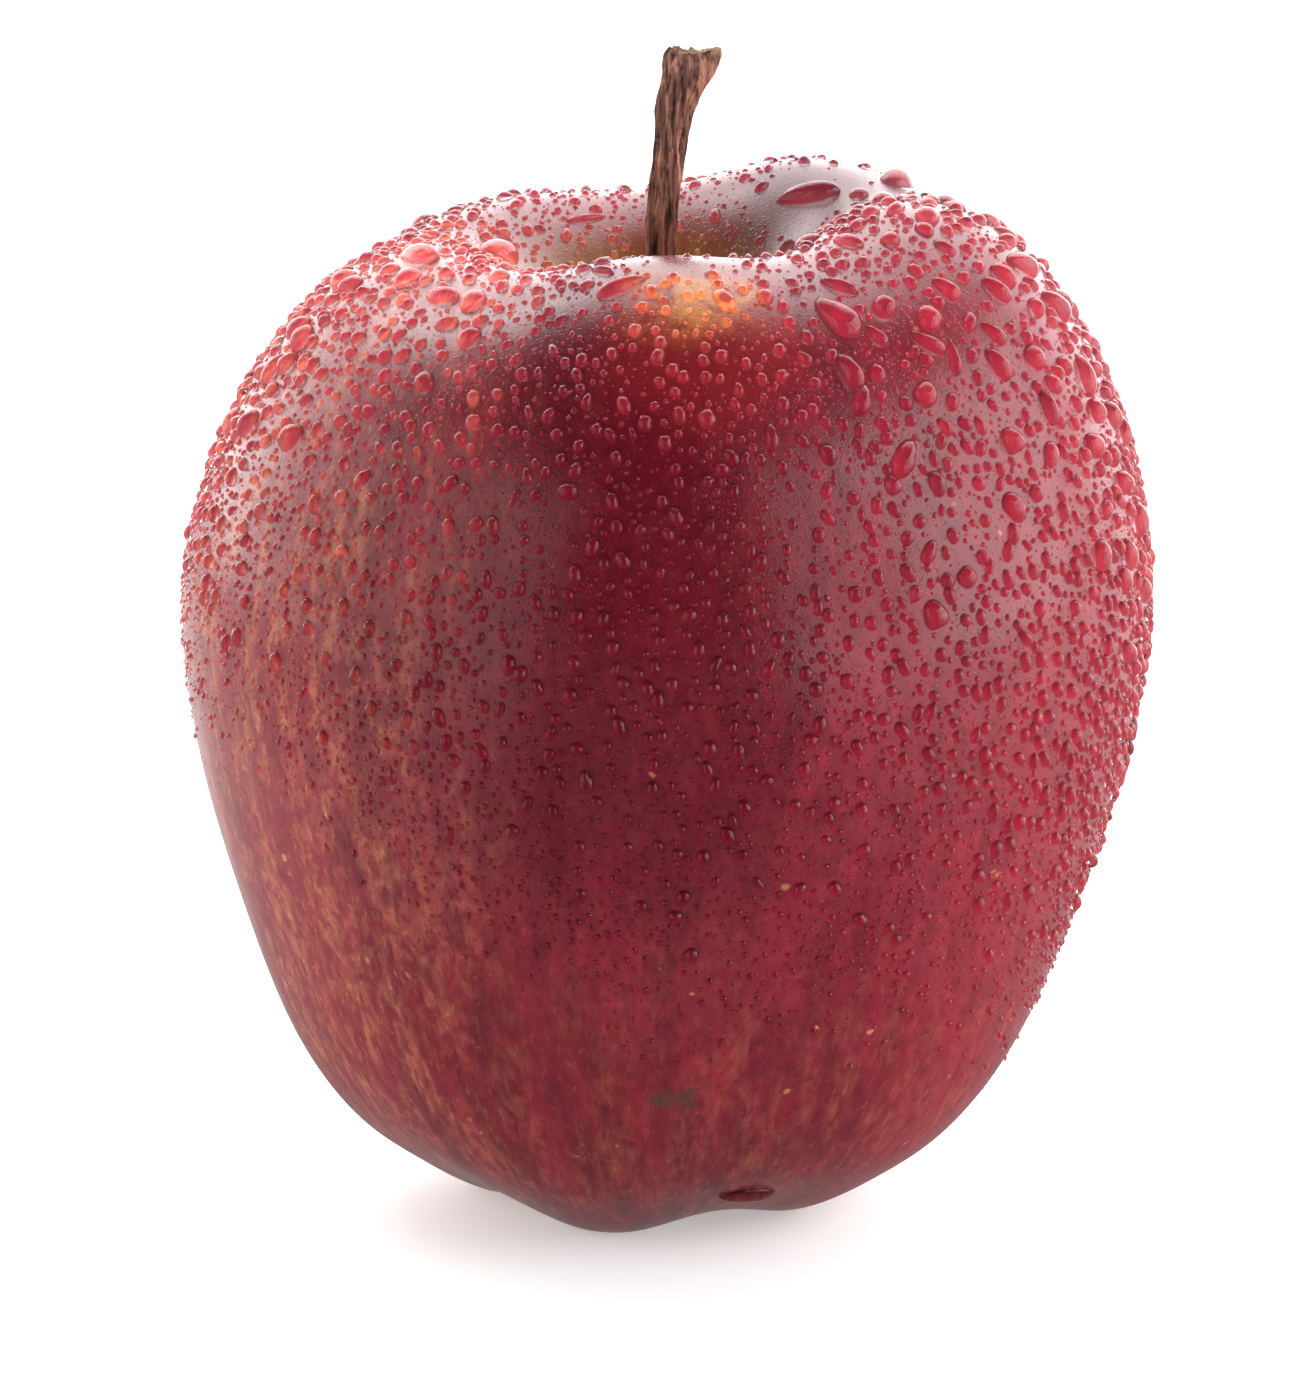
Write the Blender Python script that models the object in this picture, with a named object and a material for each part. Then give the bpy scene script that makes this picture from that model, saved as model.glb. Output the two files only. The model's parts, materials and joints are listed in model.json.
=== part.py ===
"""A tall, five-lobed red apple standing on the small flats of its feet, with its stalk and its dried calyx.

Row frame: metres, +Z up, origin on the resting surface under the middle of the fruit. -Y is the front.
The drawing below is in millimetres and degrees, and MM turns it into metres as each mesh is made.
"""

import math

import bmesh
import bpy
from mathutils import Matrix, Vector

MM = 0.001

# ---- driving dimensions -------------------------------------------------------------------------
MAX_RADIUS = 39.7  # the fruit's widest section
CROWN_HEIGHT = 81.6  # mean height of the rim round the stalk cavity
CAVITY_FLOOR = 66.0  # height of the bottom of the stalk cavity
CROWN_RIM_RADIUS = 18.5
FOOT_RADIUS = 12.6  # the ring on which the five feet stand
FOOT_DIP = 0.5  # how far the feet would reach below the surface if it hadn't flattened them
BASIN_ROOF = 9.5  # height of the top of the calyx basin under the fruit
GAP = 0.3  # clearance that separate solids keep

# Lobes as (azimuth in degrees, strength). Azimuth -90 is the front, 0 the right-hand side.
CROWN_LOBES = ((-92, 0.75), (-20, 1.0), (54, 0.98), (128, 0.5), (-163, 0.35))
FOOT_LOBES = ((-109, 1.0), (-36, 0.78), (34, 0.96), (106, 1.0), (180, 0.96))
LOBE_SHARPNESS = 7.0

SEGMENTS = 60  # round the axis
RINGS_PER_SPAN = 3  # between two stations of the meridian

# The meridian from the cavity floor over the rim, down the side and into the calyx basin.
# Each station is (radius, height, crown lobes' push outwards, and upwards, foot lobes' push outwards, and down).
MERIDIAN = (
    (2.6, CAVITY_FLOOR, 0.0, 0.0, 0.0, 0.0),
    (4.3, CAVITY_FLOOR + 1.9, 0.0, 0.1, 0.0, 0.0),
    (7.0, CAVITY_FLOOR + 6.4, 0.2, 0.5, 0.0, 0.0),
    (11.0, CAVITY_FLOOR + 11.6, 0.3, 1.1, 0.0, 0.0),
    (15.0, CAVITY_FLOOR + 14.5, 0.4, 1.6, 0.0, 0.0),
    (CROWN_RIM_RADIUS + 0.5, CROWN_HEIGHT, 0.6, 1.8, 0.0, 0.0),
    (24.0, CROWN_HEIGHT - 1.0, 0.9, 1.8, 0.0, 0.0),
    (29.4, CROWN_HEIGHT - 4.6, 1.1, 1.5, 0.0, 0.0),
    (34.4, CROWN_HEIGHT - 11.4, 1.1, 1.0, 0.0, 0.0),
    (38.0, CROWN_HEIGHT - 20.0, 0.9, 0.5, 0.0, 0.0),
    (MAX_RADIUS, CROWN_HEIGHT - 30.6, 0.6, 0.0, 0.2, 0.0),
    (38.2, 38.6, 0.3, 0.0, 0.4, 0.0),
    (34.6, 26.2, 0.1, 0.0, 0.6, 0.0),
    (30.2, 15.2, 0.0, 0.0, 0.9, 0.2),
    (25.3, 8.4, 0.0, 0.0, 1.0, 0.7),
    (20.0, 4.6, 0.0, 0.0, 0.8, 1.2),
    (FOOT_RADIUS + 3.0, 2.3, 0.0, 0.0, 0.6, 1.6),
    (FOOT_RADIUS, 1.6, 0.0, 0.0, 0.3, 1.7),
    (10.0, 2.6, 0.0, 0.0, 0.0, 1.5),
    (7.2, 5.6, 0.0, 0.0, 0.0, 0.9),
    (5.1, 8.5, 0.0, 0.0, 0.0, 0.3),
    (3.6, BASIN_ROOF, 0.0, 0.0, 0.0, 0.0),
)
LEAN_RIGHT, LEAN_BACK = 0.05, 0.04  # how much higher the crown stands per millimetre to the right and to the back
LEAN_FROM_HEIGHT = 45.0

# The stalk's centre line as (right, back, height above the cavity floor, half width, half depth).
STALK_STATIONS = (
    (-0.55, 0.0, GAP + 0.1, 1.45, 1.4),
    (-0.55, 0.0, 2.0, 1.35, 1.3),
    (-0.45, 0.1, 7.0, 1.28, 1.2),
    (-0.15, 0.3, 13.0, 1.25, 1.2),
    (0.25, 0.6, 19.0, 1.25, 1.2),
    (0.65, 0.8, 23.0, 1.35, 1.3),
    (1.15, 1.0, 25.8, 1.55, 1.4),
    (1.75, 1.1, 27.6, 1.85, 1.55),
    (2.05, 1.2, 28.7, 2.0, 1.6),
    (2.15, 1.2, 29.3, 1.7, 1.3),
)
STALK_SIDES = 14
STALK_RINGS_PER_SPAN = 3
# The broken spur at the stalk's thick end.
SPUR_FROM_HEIGHT, SPUR_AZIMUTH, SPUR_LENGTH, SPUR_RISE = 26.5, -8.0, 1.5, 0.5

SEPALS = 5
SEPAL_LENGTH, SEPAL_WIDTH, SEPAL_THICKNESS = 6.2, 2.2, 0.4
SEPAL_ROOT_RADIUS = 2.7
TUFT_RADIUS, TUFT_LENGTH = 1.25, 3.4

# ---- colours, as linear (red, green, blue), roughness -------------------------------------------
SKIN_FINISH = ((0.30, 0.018, 0.022), 0.3)
BARK_FINISH = ((0.10, 0.045, 0.022), 0.85)
SEPAL_FINISH = ((0.13, 0.085, 0.045), 0.9)
TUFT_FINISH = ((0.05, 0.03, 0.02), 0.95)


def clear_scene():
    for thing in list(bpy.data.objects):
        bpy.data.objects.remove(thing)


def finish(name, colour, roughness):
    """A plain non-metallic material."""
    made = bpy.data.materials.new(name)
    made.use_nodes = True
    shader = made.node_tree.nodes["Principled BSDF"]
    shader.inputs["Base Color"].default_value = (*colour, 1.0)
    shader.inputs["Roughness"].default_value = roughness
    shader.inputs["Metallic"].default_value = 0.0
    return made


def spline(stations, per_span):
    """Points on a smooth curve through the stations, per_span of them from each station to the next."""
    rows = [Vector(row) for row in stations]
    ends = [2 * rows[0] - rows[1], *rows, 2 * rows[-1] - rows[-2]]
    points = []
    for i in range(len(rows) - 1):
        before, start, end, after = ends[i : i + 4]
        for step in range(per_span):
            t = step / per_span
            points.append(
                0.5
                * (
                    2 * start
                    + (end - before) * t
                    + (2 * before - 5 * start + 4 * end - after) * t**2
                    + (3 * start - before - 3 * end + after) * t**3
                )
            )
    return [*points, rows[-1]]


def lobe_wave(azimuth, lobes):
    """How strongly the lobes push at an azimuth: about 1 on a lobe and about -1 in a groove between two."""
    total = 0.0
    for degrees, strength in lobes:
        turn = math.cos(azimuth - math.radians(degrees)) - 1.0
        total += strength * math.exp(LOBE_SHARPNESS * turn)
    return 2.0 * total - 1.0


def skin_point(station, azimuth):
    """The point of the fruit's skin at a station of the meridian and an azimuth."""
    radius, height, crown_out, crown_up, foot_out, foot_down = station
    crown = lobe_wave(azimuth, CROWN_LOBES)
    foot = lobe_wave(azimuth, FOOT_LOBES)
    radius += crown_out * crown + foot_out * foot
    height += crown_up * crown - foot_down * foot
    right = radius * math.cos(azimuth)
    back = radius * math.sin(azimuth)
    above = max(0.0, height - LEAN_FROM_HEIGHT) / (CROWN_HEIGHT - LEAN_FROM_HEIGHT)
    height += (LEAN_RIGHT * right + LEAN_BACK * back) * above
    return Vector((right, back, height))


def add_object(name, mesh_builder, material):
    """An object whose mesh is the builder's bmesh, drawn in millimetres, with its faces pointing out."""
    bmesh.ops.recalc_face_normals(mesh_builder, faces=mesh_builder.faces)
    mesh = bpy.data.meshes.new(name)
    mesh_builder.to_mesh(mesh)
    mesh_builder.free()
    mesh.transform(Matrix.Scale(MM, 4))
    mesh.shade_smooth()
    mesh.materials.append(material)
    made = bpy.data.objects.new(name, mesh)
    bpy.context.scene.collection.objects.link(made)
    return made


def loft(builder, loops):
    """Quads between each loop of points and the next, closed at both ends by a fan to the end loop's middle."""
    rings = [[builder.verts.new(point) for point in loop] for loop in loops]
    count = len(rings[0])
    for upper, lower in zip(rings, rings[1:]):
        for i in range(count):
            j = (i + 1) % count
            builder.faces.new((upper[i], upper[j], lower[j], lower[i]))
    for ring in (rings[0], rings[-1]):
        middle = builder.verts.new(sum((v.co for v in ring), Vector()) / count)
        for i in range(count):
            builder.faces.new((ring[i], ring[(i + 1) % count], middle))
    return rings


def fruit_rings():
    """The skin as rings of points from the stalk cavity to the calyx basin, with the feet pressed flat."""
    azimuths = [2 * math.pi * i / SEGMENTS for i in range(SEGMENTS)]
    stations = spline(MERIDIAN, RINGS_PER_SPAN)
    rings = [[skin_point(row, azimuth) for azimuth in azimuths] for row in stations]
    lowest = min(point.z for ring in rings for point in ring)
    for ring in rings:
        for point in ring:
            point.z = max(0.0, point.z - lowest - FOOT_DIP)
    return rings


def middle_shift(rings):
    """The move that brings the middle of the fruit's plan onto the frame's axis."""
    rights = [point.x for ring in rings for point in ring]
    backs = [point.y for ring in rings for point in ring]
    return Vector((-(min(rights) + max(rights)) / 2, -(min(backs) + max(backs)) / 2, 0.0))


def make_fruit(rings, shift, material):
    builder = bmesh.new()
    loft(builder, [[point + shift for point in ring] for ring in rings])
    return add_object("apple_fruit", builder, material)


def stalk_floor(rings):
    """The middle of the cavity's floor, before the shift."""
    ring = rings[0]
    return sum(ring, Vector()) / len(ring)


def make_stalk(floor, shift, material):
    """The woody stalk: a leaning, slightly oval rod that widens to a knobbed, broken end."""
    builder = bmesh.new()
    loops = []
    for right, back, up, half_width, half_depth in spline(STALK_STATIONS, STALK_RINGS_PER_SPAN):
        middle = floor + shift + Vector((right, back, up))
        swelling = max(0.0, (up - SPUR_FROM_HEIGHT) / (STALK_STATIONS[-1][2] - SPUR_FROM_HEIGHT))
        loop = []
        for i in range(STALK_SIDES):
            angle = 2 * math.pi * i / STALK_SIDES
            reach = math.exp(5.0 * (math.cos(angle - math.radians(SPUR_AZIMUTH)) - 1.0)) * swelling
            width = half_width + SPUR_LENGTH * reach
            loop.append(
                middle + Vector((width * math.cos(angle), half_depth * math.sin(angle), SPUR_RISE * reach))
            )
        loops.append(loop)
    loft(builder, loops)
    return add_object("stalk", builder, material)


def make_sepal(number, roof, material):
    """One dried sepal: a narrow leaf that hangs from the basin's roof and curls back at its tip."""
    along, across = 9, 5
    builder = bmesh.new()
    grid = []
    for i in range(along):
        t = i / (along - 1)
        half = 0.5 * SEPAL_WIDTH * max(0.16, math.sin(math.pi * (0.38 + 0.58 * t)) ** 0.8)
        out = SEPAL_ROOT_RADIUS - 0.9 * math.sin(math.pi * 0.8 * t) + 1.9 * t**3
        down = GAP + 0.25 + SEPAL_LENGTH * (0.92 * t - 0.18 * t**3)
        row = []
        for k in range(across):
            side = 2 * k / (across - 1) - 1
            row.append(builder.verts.new((out + 0.35 * side**2, side * half, -down)))
        grid.append(row)
    for upper, lower in zip(grid, grid[1:]):
        for k in range(across - 1):
            builder.faces.new((upper[k], upper[k + 1], lower[k + 1], lower[k]))
    turn = Matrix.Rotation(2 * math.pi * (number - 0.5) / SEPALS, 4, "Z")
    bmesh.ops.transform(builder, matrix=Matrix.Translation(roof) @ turn, verts=builder.verts)
    sepal = add_object(f"sepal_{number}", builder, material)
    wall = sepal.modifiers.new("thickness", "SOLIDIFY")
    wall.thickness = SEPAL_THICKNESS * MM
    wall.offset = 0.0
    return sepal


def make_tuft(roof, material):
    """The withered stamens and styles, as one short plug between the sepals."""
    builder = bmesh.new()
    loops = []
    for share, width in ((0.0, 0.7), (0.3, 0.8), (0.7, 1.0), (1.0, 0.75)):
        radius = TUFT_RADIUS * width * 0.8
        down = GAP + TUFT_LENGTH * share
        loops.append(
            [
                roof + Vector((radius * math.cos(a), radius * math.sin(a), -down))
                for a in (2 * math.pi * i / 10 for i in range(10))
            ]
        )
    loft(builder, loops)
    return add_object("stamen_tuft", builder, material)


def main():
    clear_scene()
    rings = fruit_rings()
    shift = middle_shift(rings)
    make_fruit(rings, shift, finish("skin", *SKIN_FINISH))
    make_stalk(stalk_floor(rings), shift, finish("bark", *BARK_FINISH))
    roof = sum(rings[-1], Vector()) / len(rings[-1]) + shift
    sepal_finish = finish("sepal", *SEPAL_FINISH)
    for number in range(1, SEPALS + 1):
        make_sepal(number, roof, sepal_finish)
    make_tuft(roof, finish("stamen", *TUFT_FINISH))


main()
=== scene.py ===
"""The looks of a wet red apple: skin, water drops, stalk, dried calyx, studio floor, lights and camera.

Row frame: metres, +Z up, origin on the floor under the middle of the fruit, -Y the front, +X its right.
"""

import json
import math

import bmesh
import bpy
import numpy as np
from mathutils import Matrix, Vector, noise
from mathutils.bvhtree import BVHTree

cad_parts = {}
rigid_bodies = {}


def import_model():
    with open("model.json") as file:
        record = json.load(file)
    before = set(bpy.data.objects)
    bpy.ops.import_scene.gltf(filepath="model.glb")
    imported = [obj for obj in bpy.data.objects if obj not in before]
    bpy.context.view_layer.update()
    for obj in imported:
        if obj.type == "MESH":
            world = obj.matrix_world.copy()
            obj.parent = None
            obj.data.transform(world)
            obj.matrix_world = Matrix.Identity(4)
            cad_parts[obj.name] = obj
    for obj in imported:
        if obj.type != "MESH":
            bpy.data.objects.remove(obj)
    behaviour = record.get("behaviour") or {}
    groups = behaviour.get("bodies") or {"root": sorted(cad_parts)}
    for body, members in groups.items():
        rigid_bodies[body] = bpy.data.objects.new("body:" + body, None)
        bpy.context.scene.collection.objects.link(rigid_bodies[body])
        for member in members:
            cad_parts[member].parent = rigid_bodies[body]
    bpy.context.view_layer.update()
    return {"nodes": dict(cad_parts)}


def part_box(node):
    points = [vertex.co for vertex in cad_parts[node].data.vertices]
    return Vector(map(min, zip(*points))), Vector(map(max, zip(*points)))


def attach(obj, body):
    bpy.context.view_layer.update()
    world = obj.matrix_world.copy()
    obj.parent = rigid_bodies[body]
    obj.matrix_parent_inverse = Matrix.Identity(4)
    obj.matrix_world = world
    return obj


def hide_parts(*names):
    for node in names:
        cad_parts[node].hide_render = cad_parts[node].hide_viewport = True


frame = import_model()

MM = 0.001
HEART = Vector((0.0, 0.0, 42.0)) * MM  # the middle of the fruit, from which the skin's directions are taken

# ---- camera ----
CAMERA_LENS = 180.0
CAMERA_SENSOR = 36.0
CAMERA_CLIP = (0.01, 20.0)
CAMERA_DISTANCE = 574 * MM
CAMERA_ELEVATION = 12.0
CAMERA_AIM = Vector((-1.2, 0.0, 42.0)) * MM

# ---- lights ----
# Each softbox: where it stands, its width and height (m), and how bright its face looks (white paper is 1).
SOFTBOXES = {
    "left_softbox": ((-0.77, -0.31, 0.30), 1.2, 0.72, 1.28),
    "right_near_softbox": ((0.60, -0.62, 0.34), 0.4, 0.75, 1.95),
    "right_softbox": ((0.83, -0.12, 0.34), 0.7, 0.75, 4.6),
    "top_softbox": ((0.1, 0.42, 0.86), 0.9, 0.6, 1.6),
    "high_back_softbox": ((-0.48, 0.45, 0.75), 0.36, 0.3, 3.6),
}
SOFTBOX_AIM = Vector((0.0, 0.0, 0.05))
FLOOR_WIDTH = 6.0
FLOOR_GLOW = 0.375
FLOOR_MIRRORED_DARK = 0.05

# ---- skin colours (linear) ----
CRIMSON_DEEP = (0.092, 0.0026, 0.0105)
CRIMSON = (0.165, 0.0050, 0.0165)
RED_BRIGHT = (0.23, 0.010, 0.022)
ORANGE = (0.37, 0.105, 0.055)
YELLOW = (0.50, 0.24, 0.09)
PATCH_ORANGE = (0.42, 0.100, 0.028)
PATCH_YELLOW = (0.52, 0.215, 0.045)
PATCH_HALO = (0.27, 0.018, 0.018)
CAVITY_GREEN = (0.34, 0.215, 0.03)
RUSSET = (0.22, 0.055, 0.022)
LENTICEL = (0.52, 0.22, 0.10)
SCAR = (0.060, 0.030, 0.020)

# ---- meridians of the skin: azimuths in degrees, from +X towards +Y ----
SUNNY_SIDE = -94.0
PALE_LEFT = -168.0
PALE_RIGHT = 10.0
DIM_SIDE = -150.0
DEWY_SIDE = -20.0

# ---- water ----
WATER_IOR = 1.333
WATER_CLEAR = (0.95, 0.90, 0.91)
# painted shade: the tint of a drop towards its upper edge
WATER_PAINTED_SHADE = (0.17, 0.08, 0.09)
WET_PAINTED_GLOW = (1.8, 1.4, 1.6)  # painted light: how much brighter the skin's colour is painted where it is seen through a drop, in place of the light that the drop gathers
WET_PAINTED_GLOW_DIM_SIDE = 1.5  # and how much more painted light on the dimly lit side

# ---- bark, broken wood and dried calyx colours (linear) ----
BARK_DARK = (0.036, 0.017, 0.014)
BARK_BROWN = (0.40, 0.175, 0.125)
# partly the stalk's own tan patches, partly painted highlight on its ridge tops
BARK_TAN_AND_HIGHLIGHT = (0.64, 0.31, 0.16)
BARK_GREY = (0.40, 0.31, 0.28)
BARK_CRACK = (0.016, 0.008, 0.007)
WOOD_DARK = (0.36, 0.21, 0.10)
WOOD_PALE = (0.70, 0.50, 0.28)
LEAF_DARK = (0.055, 0.032, 0.016)
LEAF_LIGHT = (0.24, 0.16, 0.085)
THREAD_DARK = (0.03, 0.018, 0.01)
THREAD_LIGHT = (0.12, 0.075, 0.04)


# ==== Writing node trees ====
class Graph:
    """A short way to write a node tree: each call makes a node and gives the output that is wanted."""

    def __init__(self, tree):
        self.tree = tree

    def join(self, output, socket):
        self.tree.links.new(output, socket)

    def fill(self, node, inputs):
        """Each input takes another node's output or a plain value."""
        for key, value in inputs.items():
            if isinstance(value, bpy.types.NodeSocket):
                self.join(value, node.inputs[key])
            else:
                node.inputs[key].default_value = value
        return node

    def node(self, kind, inputs=None, **settings):
        made = self.tree.nodes.new(kind)
        for key, value in settings.items():
            setattr(made, key, value)
        return self.fill(made, inputs or {})

    def group(self, group, inputs):
        kind = "ShaderNodeGroup" if group.bl_idname == "ShaderNodeTree" else "GeometryNodeGroup"
        return self.node(kind, inputs, node_tree=group).outputs

    def math(self, operation, *values, clamp=False):
        inputs = dict(enumerate(values))
        return self.node("ShaderNodeMath", inputs, operation=operation, use_clamp=clamp).outputs[0]

    def times(self, *values, clamp=False):
        """The values multiplied one after another."""
        product = values[0]
        for value in values[1:]:
            product = self.math("MULTIPLY", product, value, clamp=clamp)
        return product

    def plus(self, first, second):
        return self.math("ADD", first, second)

    def vector(self, operation, *values):
        made = self.node("ShaderNodeVectorMath", dict(enumerate(values)), operation=operation)
        return made.outputs["Value" if operation in ("DOT_PRODUCT", "LENGTH", "DISTANCE") else "Vector"]

    def scaled(self, vector, factor):
        inputs = {0: vector, "Scale": factor}
        return self.node("ShaderNodeVectorMath", inputs, operation="SCALE").outputs["Vector"]

    def parts(self, vector):
        return self.node("ShaderNodeSeparateXYZ", {0: vector}).outputs

    def whole(self, x=0.0, y=0.0, z=0.0):
        return self.node("ShaderNodeCombineXYZ", {0: x, 1: y, 2: z}).outputs[0]

    def span(self, value, low, high, to_low=0.0, to_high=1.0, kind="LINEAR"):
        """value mapped from low..high to to_low..to_high, and held there outside."""
        inputs = {"Value": value, "From Min": low, "From Max": high, "To Min": to_low, "To Max": to_high}
        return self.node("ShaderNodeMapRange", inputs, interpolation_type=kind).outputs["Result"]

    def ease(self, value, low, high, to_low=0.0, to_high=1.0):
        """The same with soft ends."""
        return self.span(value, low, high, to_low, to_high, "SMOOTHSTEP")

    def noise(self, vector, scale, detail=3.0, roughness=0.55, distortion=0.0):
        inputs = {"Vector": vector, "Scale": scale, "Detail": detail}
        inputs.update({"Roughness": roughness, "Distortion": distortion})
        return self.node("ShaderNodeTexNoise", inputs).outputs["Fac"]

    def cells(self, vector, scale):
        inputs = {"Vector": vector, "Scale": scale, "Randomness": 1.0}
        return self.node("ShaderNodeTexVoronoi", inputs).outputs

    def mix_value(self, factor, first, second):
        """Two plain values mixed."""
        return self.node("ShaderNodeMix", {0: factor, 2: first, 3: second}, data_type="FLOAT").outputs[0]

    def mix(self, factor, first, second, blend="MIX"):
        """Two colours mixed."""
        first, second = ((*value, 1.0) if isinstance(value, tuple) else value for value in (first, second))
        inputs = {0: factor, 6: first, 7: second}
        return self.node("ShaderNodeMix", inputs, data_type="RGBA", blend_type=blend).outputs[2]

    # ---- what only materials use ----
    def object_place(self):
        return self.node("ShaderNodeTexCoord").outputs["Object"]

    def layer(self, name):
        """A value that the mesh carries."""
        return self.node("ShaderNodeAttribute", attribute_name=name).outputs["Fac"]

    def ray(self, kind):
        """1 for rays of this kind, and 0 for all others."""
        return self.node("ShaderNodeLightPath").outputs[f"Is {kind} Ray"]

    def relief(self, shader, height, strength, depth):
        bump = self.node("ShaderNodeBump", {"Strength": strength, "Distance": depth, "Height": height})
        self.fill(shader, {"Normal": bump.outputs["Normal"]})

    def mixed_shader(self, factor, first, second):
        return self.node("ShaderNodeMixShader", {0: factor, 1: first.outputs[0], 2: second.outputs[0]})

    def surface(self, shader):
        self.fill(self.tree.nodes["Material Output"], {"Surface": shader.outputs[0]})

    # ---- what only the strewing of drops uses ----
    def position(self):
        return self.node("GeometryNodeInputPosition").outputs[0]

    def stored(self, name, kind="FLOAT"):
        inputs = {"Name": name}
        return self.node("GeometryNodeInputNamedAttribute", inputs, data_type=kind).outputs["Attribute"]

    def store(self, geometry, name, value, kind="FLOAT"):
        inputs = {"Geometry": geometry, "Name": name, "Value": value}
        made = self.node("GeometryNodeStoreNamedAttribute", inputs, data_type=kind, domain="POINT")
        return made.outputs["Geometry"]

    def without(self, geometry, chosen):
        """The points that are left when the chosen ones go."""
        inputs = {"Geometry": geometry, "Selection": chosen}
        return self.node("GeometryNodeDeleteGeometry", inputs, domain="POINT").outputs["Geometry"]


def new_group(name, kind, inputs, outputs):
    """A node group, with its sockets given as {type: names}: its graph, its inputs and its outputs."""
    tree = bpy.data.node_groups.new(name, kind)
    for way, sockets in (("INPUT", inputs), ("OUTPUT", outputs)):
        for socket, labels in sockets.items():
            for label in labels.split():
                tree.interface.new_socket(label, in_out=way, socket_type="NodeSocket" + socket)
    graph = Graph(tree)
    return graph, graph.node("NodeGroupInput").outputs, graph.node("NodeGroupOutput").inputs


def new_material(name):
    """(material, its graph, its Principled shader)"""
    made = bpy.data.materials.new(name)
    made.use_nodes = True
    return made, Graph(made.node_tree), made.node_tree.nodes["Principled BSDF"]


# ==== Patterns of the skin ====
def make_fruit_directions():
    """Object coordinates turned into directions round the core and along the meridians."""
    outputs = {"Vector": "Place Around", "Float": "Meridian Height Out"}
    graph, _, end = new_group("fruit_directions", "ShaderNodeTree", {}, outputs)
    place = graph.object_place()
    parts = graph.parts(graph.vector("SUBTRACT", place, tuple(HEART)))
    flat = graph.whole(parts[0], parts[1])
    out = graph.vector("LENGTH", flat)
    meridian = graph.math("ARCTAN2", parts[2], out)
    around = graph.vector("NORMALIZE", flat)
    height = graph.parts(place)[2]
    for value, socket in zip((place, around, meridian, height, out), end):
        graph.join(value, socket)
    return graph.tree


def make_streaks():
    """Blotchy streaks that run along the meridians, from 0 to 1."""
    inputs = {"Vector": "Around", "Float": "Meridian Fineness Breaks Low High Shift"}
    graph, start, end = new_group("streaks", "ShaderNodeTree", inputs, {"Float": "Streak"})
    along = graph.math("MULTIPLY_ADD", start["Meridian"], start["Breaks"], start["Shift"])
    where = graph.vector("ADD", graph.scaled(start["Around"], start["Fineness"]), graph.whole(z=along))
    blotch = graph.noise(where, 1.0, detail=5.0, roughness=0.62, distortion=0.35)
    graph.join(graph.ease(blotch, start["Low"], start["High"]), end["Streak"])
    return graph.tree


def make_spot_mask():
    """1 at a point of the skin, falling to 0 at a radius, with a ragged edge."""
    inputs = {"Vector": "Place Middle Stretch", "Float": "Radius Ragged Grain"}
    graph, start, end = new_group("spot_mask", "ShaderNodeTree", inputs, {"Float": "Mask"})
    away = graph.vector("SUBTRACT", start["Place"], start["Middle"])
    away = graph.vector("MULTIPLY", away, start["Stretch"])
    distance = graph.math("DIVIDE", graph.vector("LENGTH", away), start["Radius"])
    wobble = graph.math("SUBTRACT", graph.noise(start["Place"], start["Grain"]), 0.5)
    edge = graph.plus(distance, graph.times(wobble, start["Ragged"]))
    graph.join(graph.ease(edge, 1.0, 0.35), end["Mask"])
    return graph.tree


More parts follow.
